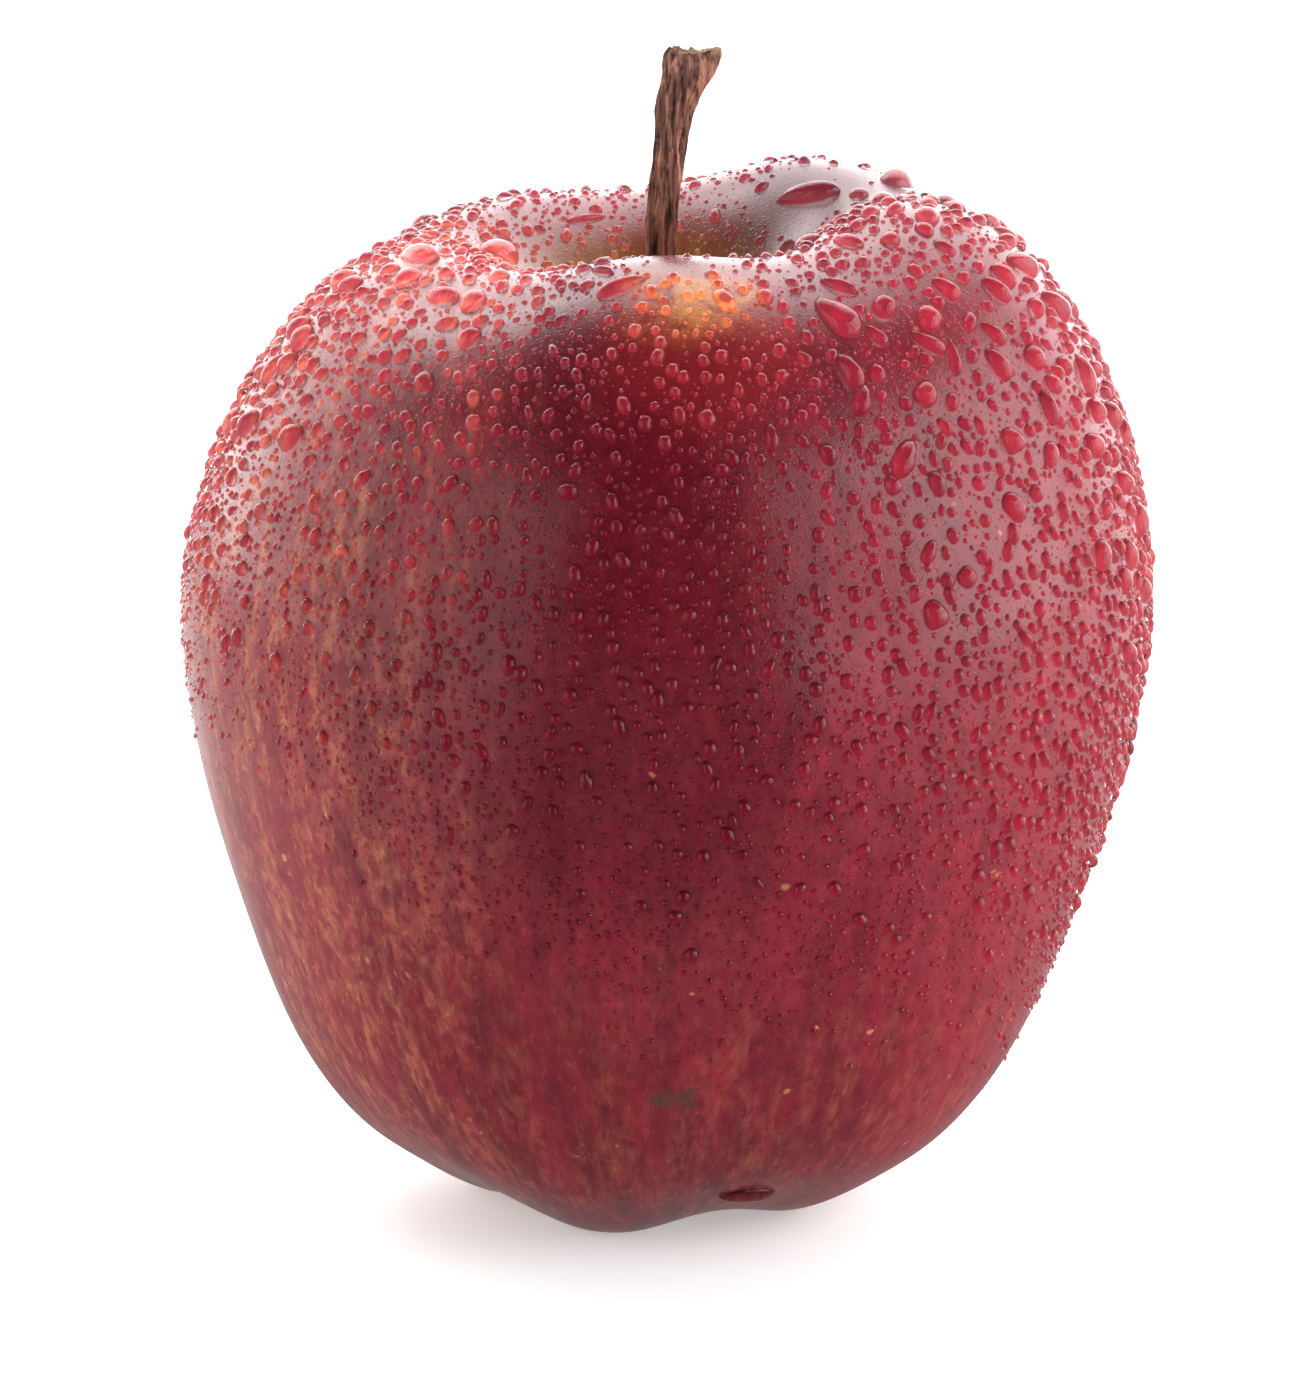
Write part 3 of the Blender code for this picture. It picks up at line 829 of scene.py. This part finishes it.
def make_drop_tree(scatter, room, shown):
    """The tree that puts one tier of drops on the skin: shapes on points, then draped over its curve."""
    inputs = {"Geometry": "Skin", "Object": "Laid", "Collection": "Shapes", "Material": "Water"}
    inputs["Int"] = "Seed Quarter"
    name = "drops_" + TIERS[shown]["name"]
    graph, start, end = new_group(name, "GeometryNodeTree", inputs, {"Geometry": "Drops"})
    skin = start["Skin"]
    taken = [graph.node("GeometryNodeObjectInfo", {"Object": start["Laid"]}).outputs["Geometry"]]
    for tier in TIERS[: shown + 1]:
        smallest, largest = tier["radius"]
        inputs = {"Skin": skin, "Zone": "wet_" + tier["name"], "Density": tier["most"], "Seed": tier["seed"]}
        inputs.update({"Smallest": smallest * MM, "Largest": largest * MM, "Rarity": tier["rarity"]})
        inputs["Spacing"] = tier["spacing"] * MM
        points = graph.group(scatter, inputs)["Drops"]
        for earlier in taken:
            inputs = {"Drops": points, "Taken": earlier, "Reach": KEEP_CLEAR}
            points = graph.group(room, inputs)["Drops"]
        taken.append(points)
    # only one quarter of the fruit at a time, so that no piece grows too heavy
    sides = graph.parts(graph.position())
    right, back = (graph.math("GREATER_THAN", sides[i], 0.0) for i in (0, 1))
    quarter = graph.math("MULTIPLY_ADD", back, 2.0, right)
    away = graph.math("ABSOLUTE", graph.math("SUBTRACT", quarter, start["Quarter"]))
    points = graph.without(points, graph.math("GREATER_THAN", away, 0.5))

    def random(low, high, shift):
        inputs = {2: low, 3: high, 8: graph.plus(start["Seed"], float(shift))}
        return graph.node("FunctionNodeRandomValue", inputs, data_type="FLOAT").outputs[1]

    # each drop stands on the skin with its top uphill, turned a little
    normal, radius = graph.stored("drop_normal", "FLOAT_VECTOR"), graph.stored("drop_radius")
    align = "FunctionNodeAlignRotationToVector"
    upright = graph.node(align, {"Vector": normal}, axis="Z", pivot_axis="AUTO").outputs[0]
    inputs = {"Rotation": upright, "Vector": (0.0, 0.0, 1.0)}
    uphill = graph.node(align, inputs, axis="Y", pivot_axis="Z").outputs[0]
    inputs = {"Axis": (0.0, 0.0, 1.0), "Angle": graph.times(random(-1.0, 1.0, 1), MOST_TURN)}
    angle = graph.node("FunctionNodeAxisAngleToRotation", inputs).outputs[0]
    inputs = {"Rotation": uphill, "Rotate By": angle}
    turned = graph.node("FunctionNodeRotateRotation", inputs, rotation_space="LOCAL").outputs[0]
    steep = graph.stored("wet_steep")
    longer = graph.math("MULTIPLY_ADD", steep, random(0.0, 0.18, 2), random(0.94, 1.06, 3))
    height = graph.times(radius, random(0.85, 1.1, 4))
    points = graph.store(points, "drop_height", height)
    inputs = {"Collection": start["Shapes"], "Separate Children": True, "Reset Children": True}
    shapes = graph.node("GeometryNodeCollectionInfo", inputs).outputs[0]
    inputs = {
        "Points": points,
        "Instance": shapes,
        "Pick Instance": True,
        "Rotation": turned,
        "Scale": graph.whole(radius, graph.times(radius, longer), height),
    }
    placed = graph.node("GeometryNodeInstanceOnPoints", inputs).outputs[0]
    water = graph.node("GeometryNodeRealizeInstances", {"Geometry": placed}).outputs[0]
    # drape: each corner keeps its height above the plane, measured from the curved skin
    rise = graph.times(graph.stored("rise"), graph.stored("drop_height"))
    flat = graph.vector("SUBTRACT", graph.position(), graph.scaled(normal, rise))
    foot = graph.node("GeometryNodeProximity", {0: skin, "Sample Position": flat}, target_element="FACES")
    facing = graph.node("GeometryNodeInputNormal").outputs[0]
    inputs = {"Mesh": skin, "Value": facing, "Sample Position": flat}
    facing = graph.node("GeometryNodeSampleNearestSurface", inputs, data_type="FLOAT_VECTOR").outputs[0]
    draped = graph.vector("ADD", foot.outputs["Position"], graph.scaled(facing, rise))
    water = graph.node("GeometryNodeSetPosition", {"Geometry": water, "Position": draped}).outputs[0]
    water = graph.node("GeometryNodeSetShadeSmooth", {"Geometry": water}).outputs[0]
    water = graph.node("GeometryNodeSetMaterial", {"Geometry": water, "Material": start["Water"]}).outputs[0]
    graph.join(water, end["Drops"])
    return graph.tree


def drop_piece(name, skin, tree, inputs):
    """The drops of one tier in one quarter, as a plain mesh piece."""
    holder = add_object(name, skin.data)
    wetting = holder.modifiers.new("drops", "NODES")
    wetting.node_group = tree
    for item in tree.interface.items_tree:
        if item.in_out == "INPUT" and item.name in inputs:
            wetting[item.identifier] = inputs[item.name]
    mesh = baked(holder, name)
    drop_layers(mesh, ("wet_", "drop_", "rise"))
    return add_object(name, mesh)


def wet_the_skin(skin, water):
    scatter, room = make_scatter(), make_room()
    laid, spots = big_drops(skin.data, water)
    made = [laid]
    for index, tier in enumerate(TIERS):
        name = tier["name"]
        outlines = []
        for variant, stretch in enumerate(STRETCHES):
            stretch = stretch if name in ("large", "medium") else 1.0
            tail = 0.2 if name == "large" and variant == 5 else 0.0
            outline = wobbly(variant + 10 * index, DROP_LOBES, stretch, tail)
            outlines.append((outline, 0.15 + 0.04 * variant))
        shapes = shape_collection(name + "_shape", *TIER_SHAPES[name], outlines)
        tree = make_drop_tree(scatter, room, index)
        for quarter, side in enumerate(QUARTERS):
            inputs = {"Laid": spots, "Shapes": shapes, "Water": water}
            inputs.update({"Seed": 20 + index, "Quarter": quarter})
            made.append(drop_piece(f"drops_{name}_{side}", skin, tree, inputs))
        for shape in list(shapes.objects):
            bpy.data.objects.remove(shape)
        bpy.data.collections.remove(shapes)
    bpy.data.objects.remove(spots)
    return made


# ---- the stalk ----
# Its centre line as (right, back, up, half width, half depth), in millimetres in the row frame.
STALK_LINE = (
    (-0.75, -0.3, 65.6, 1.9, 1.9),
    (-0.75, -0.3, 67.2, 1.5, 1.5),
    (-0.7, -0.25, 71.0, 1.3, 1.25),
    (-0.5, -0.1, 77.0, 1.25, 1.2),
    (-0.05, 0.2, 83.0, 1.2, 1.15),
    (0.5, 0.45, 88.0, 1.22, 1.15),
    (1.1, 0.6, 91.5, 1.45, 1.35),
    (1.8, 0.7, 93.3, 1.95, 1.5),
    (2.05, 0.8, 94.4, 1.95, 1.45),
    (2.0, 0.8, 95.1, 1.5, 1.0),
)
KNOB_START, KNOB_END = 92.6, 95.4  # heights between which the stalk swells into its knob


def smooth_line(stations, per_span):
    """Stations joined by a curve that passes through all of them."""
    rows = [Vector(row) for row in stations]
    ends = [2 * rows[0] - rows[1], *rows, 2 * rows[-1] - rows[-2]]
    points = []
    for i in range(len(rows) - 1):
        before, start, end, after = ends[i : i + 4]
        slope = end - before
        bend = 2 * before - 5 * start + 4 * end - after
        twist = 3 * start - before - 3 * end + after
        for step in range(per_span):
            t = step / per_span
            points.append(0.5 * (2 * start + slope * t + bend * t**2 + twist * t**3))
    return [*points, rows[-1]]


def stalk_mesh():
    """A woody stalk with lengthwise ridges, flaring to a knob with a broken spur."""
    builder = bmesh.new()
    broken = builder.verts.layers.float.new("broken")
    sides = 90
    loops = []
    for right, back, up, half_width, half_depth in smooth_line(STALK_LINE, 18):
        knob = max(0.0, (up - KNOB_START) / (KNOB_END - KNOB_START))
        above_foot = min(1.0, max(0.0, (up - 68.0) / 6.0))
        loop = []
        for k in range(sides):
            angle = 2 * math.pi * k / sides
            x, y = math.cos(angle), math.sin(angle)
            twist = Vector((math.cos(angle + 0.02 * up), math.sin(angle + 0.02 * up)))
            ridge = lumps(twist.x * 3.2, twist.y * 3.2, up * 0.10)
            ridge += 0.55 * lumps(twist.x * 7.0, twist.y * 7.0, up * 0.28 + 9.0)
            ridge += 0.25 * lumps(twist.x * 14.0, twist.y * 14.0, up * 1.1 + 31.0)
            knot = lumps(twist.x * 1.6, twist.y * 1.6, up * 0.45 + 57.0)
            swell = 1.0 + 0.15 * ridge + (0.13 * ridge + 0.16 * knot) * above_foot
            spur = math.exp(9.0 * (math.cos(angle + 0.12) - 1.0)) * knob
            hump = math.exp(2.2 * (math.cos(angle - 2.6) - 1.0)) * knob
            lift = 0.45 * spur + 0.5 * hump + 0.3 * knob * lumps(x * 3, y * 3, 5.0)
            reach = half_width * swell + 1.3 * spur**1.5
            place = Vector((right + reach * x, back + half_depth * swell * y, up + lift))
            vertex = builder.verts.new(place * MM)
            vertex[broken] = min(1.0, max(0.0, 1.4 * spur - 0.6))
            loop.append(vertex)
        loops.append(loop)
    # the broken top: rings that step inwards over a rough hollow
    rim = [v.co.copy() for v in loops[-1]]
    middle = sum(rim, Vector()) / sides
    for share in (0.85, 0.68, 0.5, 0.33, 0.16):
        loop = []
        for corner in rim:
            place = middle.lerp(corner, share)
            rough = noise.noise(place / MM * 1.7) + 0.5 * noise.noise(place / MM * 4.0)
            place.z += (0.32 * rough - 0.25 * (1.0 - share)) * MM
            vertex = builder.verts.new(place)
            vertex[broken] = 0.55 + 0.4 * noise.noise(place / MM * 1.2)
            loop.append(vertex)
        loops.append(loop)
    for lower, upper in zip(loops, loops[1:]):
        bridge(builder, lower, upper)
    top = builder.verts.new(middle - Vector((0, 0, 0.2 * MM)))
    top[broken] = 0.6
    fan(builder, top, loops[-1])
    builder.faces.new(list(reversed(loops[0])))
    bmesh.ops.recalc_face_normals(builder, faces=builder.faces)
    return finished(builder, "stalk_bark")


# ---- the dried calyx ----
def sepal_mesh(number, roof):
    """One dried sepal, crinkled and curled back at its tip."""
    along, across = 26, 11
    builder = bmesh.new()
    grid = []
    for i in range(along):
        t = i / (along - 1)
        half = 1.25 * max(0.06, math.sin(math.pi * (0.36 + 0.62 * t)) ** 0.8)
        out = 2.7 - 0.9 * math.sin(math.pi * 0.8 * t) + 1.9 * t**3
        down = 0.3 + 6.0 * (0.92 * t - 0.18 * t**3)
        row = []
        for k in range(across):
            side = 2 * k / (across - 1) - 1
            crinkle = 0.28 * lumps(side * 1.7, t * 5.0, number * 3.7)
            cupped = out + 0.4 * side**2 * (1 - t) + crinkle
            row.append(builder.verts.new(Vector((cupped, side * half, -down)) * MM))
        grid.append(row)
    for upper, lower in zip(grid, grid[1:]):
        for k in range(across - 1):
            builder.faces.new((upper[k], upper[k + 1], lower[k + 1], lower[k]))
    turn = Matrix.Rotation(2 * math.pi * (number - 0.5) / 5, 4, "Z")
    bmesh.ops.transform(builder, matrix=Matrix.Translation(roof) @ turn, verts=builder.verts)
    bmesh.ops.solidify(builder, geom=builder.faces[:], thickness=0.3 * MM)
    bmesh.ops.recalc_face_normals(builder, faces=builder.faces)
    return finished(builder, f"dry_sepal_{number}")


def tuft_mesh(roof):
    """Dried stamens: thin bent threads with a small head each, and a short plug that they stand on."""
    builder = bmesh.new()
    bmesh.ops.create_cone(
        builder,
        cap_ends=True,
        segments=20,
        radius1=0.8 * MM,
        radius2=1.0 * MM,
        depth=1.0 * MM,
        matrix=Matrix.Translation(roof + Vector((0, 0, -0.3 * MM))),
    )
    threads, sides, steps = 20, 7, 8
    for thread in range(threads):
        angle = 2.4 * thread
        spread = 0.25 + 0.75 * math.sqrt(thread / threads)
        loops = []
        for i in range(steps + 1):
            t = i / steps
            bend = spread * (0.55 + 0.75 * t + 0.2 * lumps(thread * 1.9, t * 2.0, 0.0))
            middle = roof + Vector((bend * math.cos(angle), bend * math.sin(angle), -0.3 - 3.3 * t)) * MM
            radius = (0.09 if i < steps - 1 else 0.2) * MM * (0.4 if i == steps else 1.0)
            loop = []
            for k in range(sides):
                a = 2 * math.pi * k / sides
                loop.append(builder.verts.new(middle + Vector((math.cos(a), math.sin(a), 0.0)) * radius))
            loops.append(loop)
        for upper, lower in zip(loops, loops[1:]):
            bridge(builder, upper, lower)
        builder.faces.new(loops[0])
        builder.faces.new(loops[-1])
    bmesh.ops.recalc_face_normals(builder, faces=builder.faces)
    return finished(builder, "dry_stamens")


# ==== Studio ====
def add_floor():
    """White paper lit a little from below, with a dark strip in front that only the shiny skin mirrors."""
    bpy.ops.mesh.primitive_plane_add(size=FLOOR_WIDTH, location=(0, 0, -0.02 * MM))
    floor = bpy.context.object
    floor.name = "studio_floor"
    made, graph, shader = new_material("studio_paper")
    place = graph.object_place()
    paper = graph.mix(graph.noise(place, 300.0), (0.90, 0.90, 0.90), (0.93, 0.93, 0.93))
    graph.fill(shader, {"Base Color": paper, "Roughness": 0.9, "Specular IOR Level": 0.1})
    glow = graph.node("ShaderNodeEmission", {"Strength": FLOOR_GLOW})
    lit = graph.node("ShaderNodeAddShader", {0: shader.outputs[0], 1: glow.outputs[0]})
    # what the shiny skin mirrors: pale paper that ends in a dark strip before the camera
    across, ahead = graph.parts(place)[:2]
    wide = graph.math("ABSOLUTE", across)
    beside = graph.span(wide, 40 * MM, 120 * MM, 0.3, 0.9)
    pale = graph.plus(beside, graph.span(across, 80 * MM, 260 * MM, 0.0, 1.5))
    pale = graph.math("MAXIMUM", pale, graph.span(ahead, 20 * MM, 140 * MM, 0.3, 1.2))
    narrow = graph.math("DIVIDE", wide, graph.math("MINIMUM", ahead, -1 * MM))
    before = graph.ease(ahead, -55 * MM, -85 * MM)
    dark = graph.times(graph.ease(narrow, -0.75, -0.5), before)
    brightness = graph.mix_value(dark, pale, FLOOR_MIRRORED_DARK)
    mirrored = graph.node("ShaderNodeEmission", {"Strength": brightness})
    seen = graph.mixed_shader(graph.ray("Glossy"), lit, mirrored)
    # from below the paper is not there
    below = graph.node("ShaderNodeNewGeometry").outputs["Backfacing"]
    graph.surface(graph.mixed_shader(below, seen, graph.node("ShaderNodeBsdfTransparent")))
    floor.data.materials.append(made)


def add_softbox(name, place, width, height, brightness):
    """A glowing rectangle that the camera does not see."""
    light = bpy.data.lights.new(name, "AREA")
    light.shape = "RECTANGLE"
    light.size, light.size_y = width, height
    light.energy = brightness * math.pi * width * height
    made = add_object(name, light)
    made.location = place
    made.rotation_euler = (SOFTBOX_AIM - Vector(place)).to_track_quat("-Z", "Y").to_euler()
    made.visible_camera = False


def add_world():
    """A white room, darker on the side of the camera, but plain white where the camera looks."""
    world = bpy.data.worlds.new("white_room")
    bpy.context.scene.world = world
    world.use_nodes = True
    graph = Graph(world.node_tree)
    world.node_tree.nodes.clear()
    across, depth = graph.parts(graph.node("ShaderNodeTexCoord").outputs["Generated"])[:2]
    wide = graph.math("ABSOLUTE", across)
    side = graph.ease(depth, -0.12, 0.38, 0.03, 0.85)
    side = graph.plus(side, graph.ease(wide, 0.5, 0.9, 0.0, 0.15))
    room = graph.plus(side, graph.ease(depth, 0.1, 0.62, 0.0, 3.3))
    strength = graph.mix_value(graph.ray("Camera"), room, 1.0)
    back = graph.node("ShaderNodeBackground", {"Color": (1.0, 1.0, 1.0, 1.0), "Strength": strength})
    graph.node("ShaderNodeOutputWorld", {0: back.outputs[0]})


def add_camera():
    data = bpy.data.cameras.new("camera")
    data.lens = CAMERA_LENS
    data.sensor_width = CAMERA_SENSOR
    data.clip_start, data.clip_end = CAMERA_CLIP
    camera = add_object("camera", data)
    tilt = math.radians(CAMERA_ELEVATION)
    camera.location = CAMERA_AIM + CAMERA_DISTANCE * Vector((0.0, -math.cos(tilt), math.sin(tilt)))
    camera.rotation_euler = (math.pi / 2 - tilt, 0.0, 0.0)
    bpy.context.scene.camera = camera


# ==== Putting it together ====
def main():
    skin_mesh = fruit_mesh()
    wet_zones(skin_mesh)
    skin = add_piece("skin", skin_mesh, skin_material())
    drops = wet_the_skin(skin, water_material())
    drop_layers(skin_mesh, "wet_")
    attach(skin, "root")
    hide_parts("apple_fruit")
    for piece in drops:
        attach(piece, "root")

    bark = add_piece("bark", stalk_mesh(), bark_material())
    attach(bark, "root")
    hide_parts("stalk")

    low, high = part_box("stamen_tuft")
    roof = Vector(((low.x + high.x) / 2, (low.y + high.y) / 2, high.z + 0.3 * MM))
    dry_leaf = dry_material("dry_leaf", LEAF_DARK, LEAF_LIGHT, 900.0)
    for number in range(1, 6):
        sepal = add_piece(f"dry_sepal_{number}", sepal_mesh(number, roof), dry_leaf)
        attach(sepal, "root")
        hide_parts(f"sepal_{number}")
    threads = dry_material("dry_threads", THREAD_DARK, THREAD_LIGHT, 1800.0)
    tuft = add_piece("dry_stamens", tuft_mesh(roof), threads)
    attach(tuft, "root")
    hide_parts("stamen_tuft")

    add_floor()
    add_world()
    for name, (place, width, height, brightness) in SOFTBOXES.items():
        add_softbox(name, place, width, height, brightness)
    add_camera()
    bpy.context.scene.view_settings.view_transform = "Standard"


main()
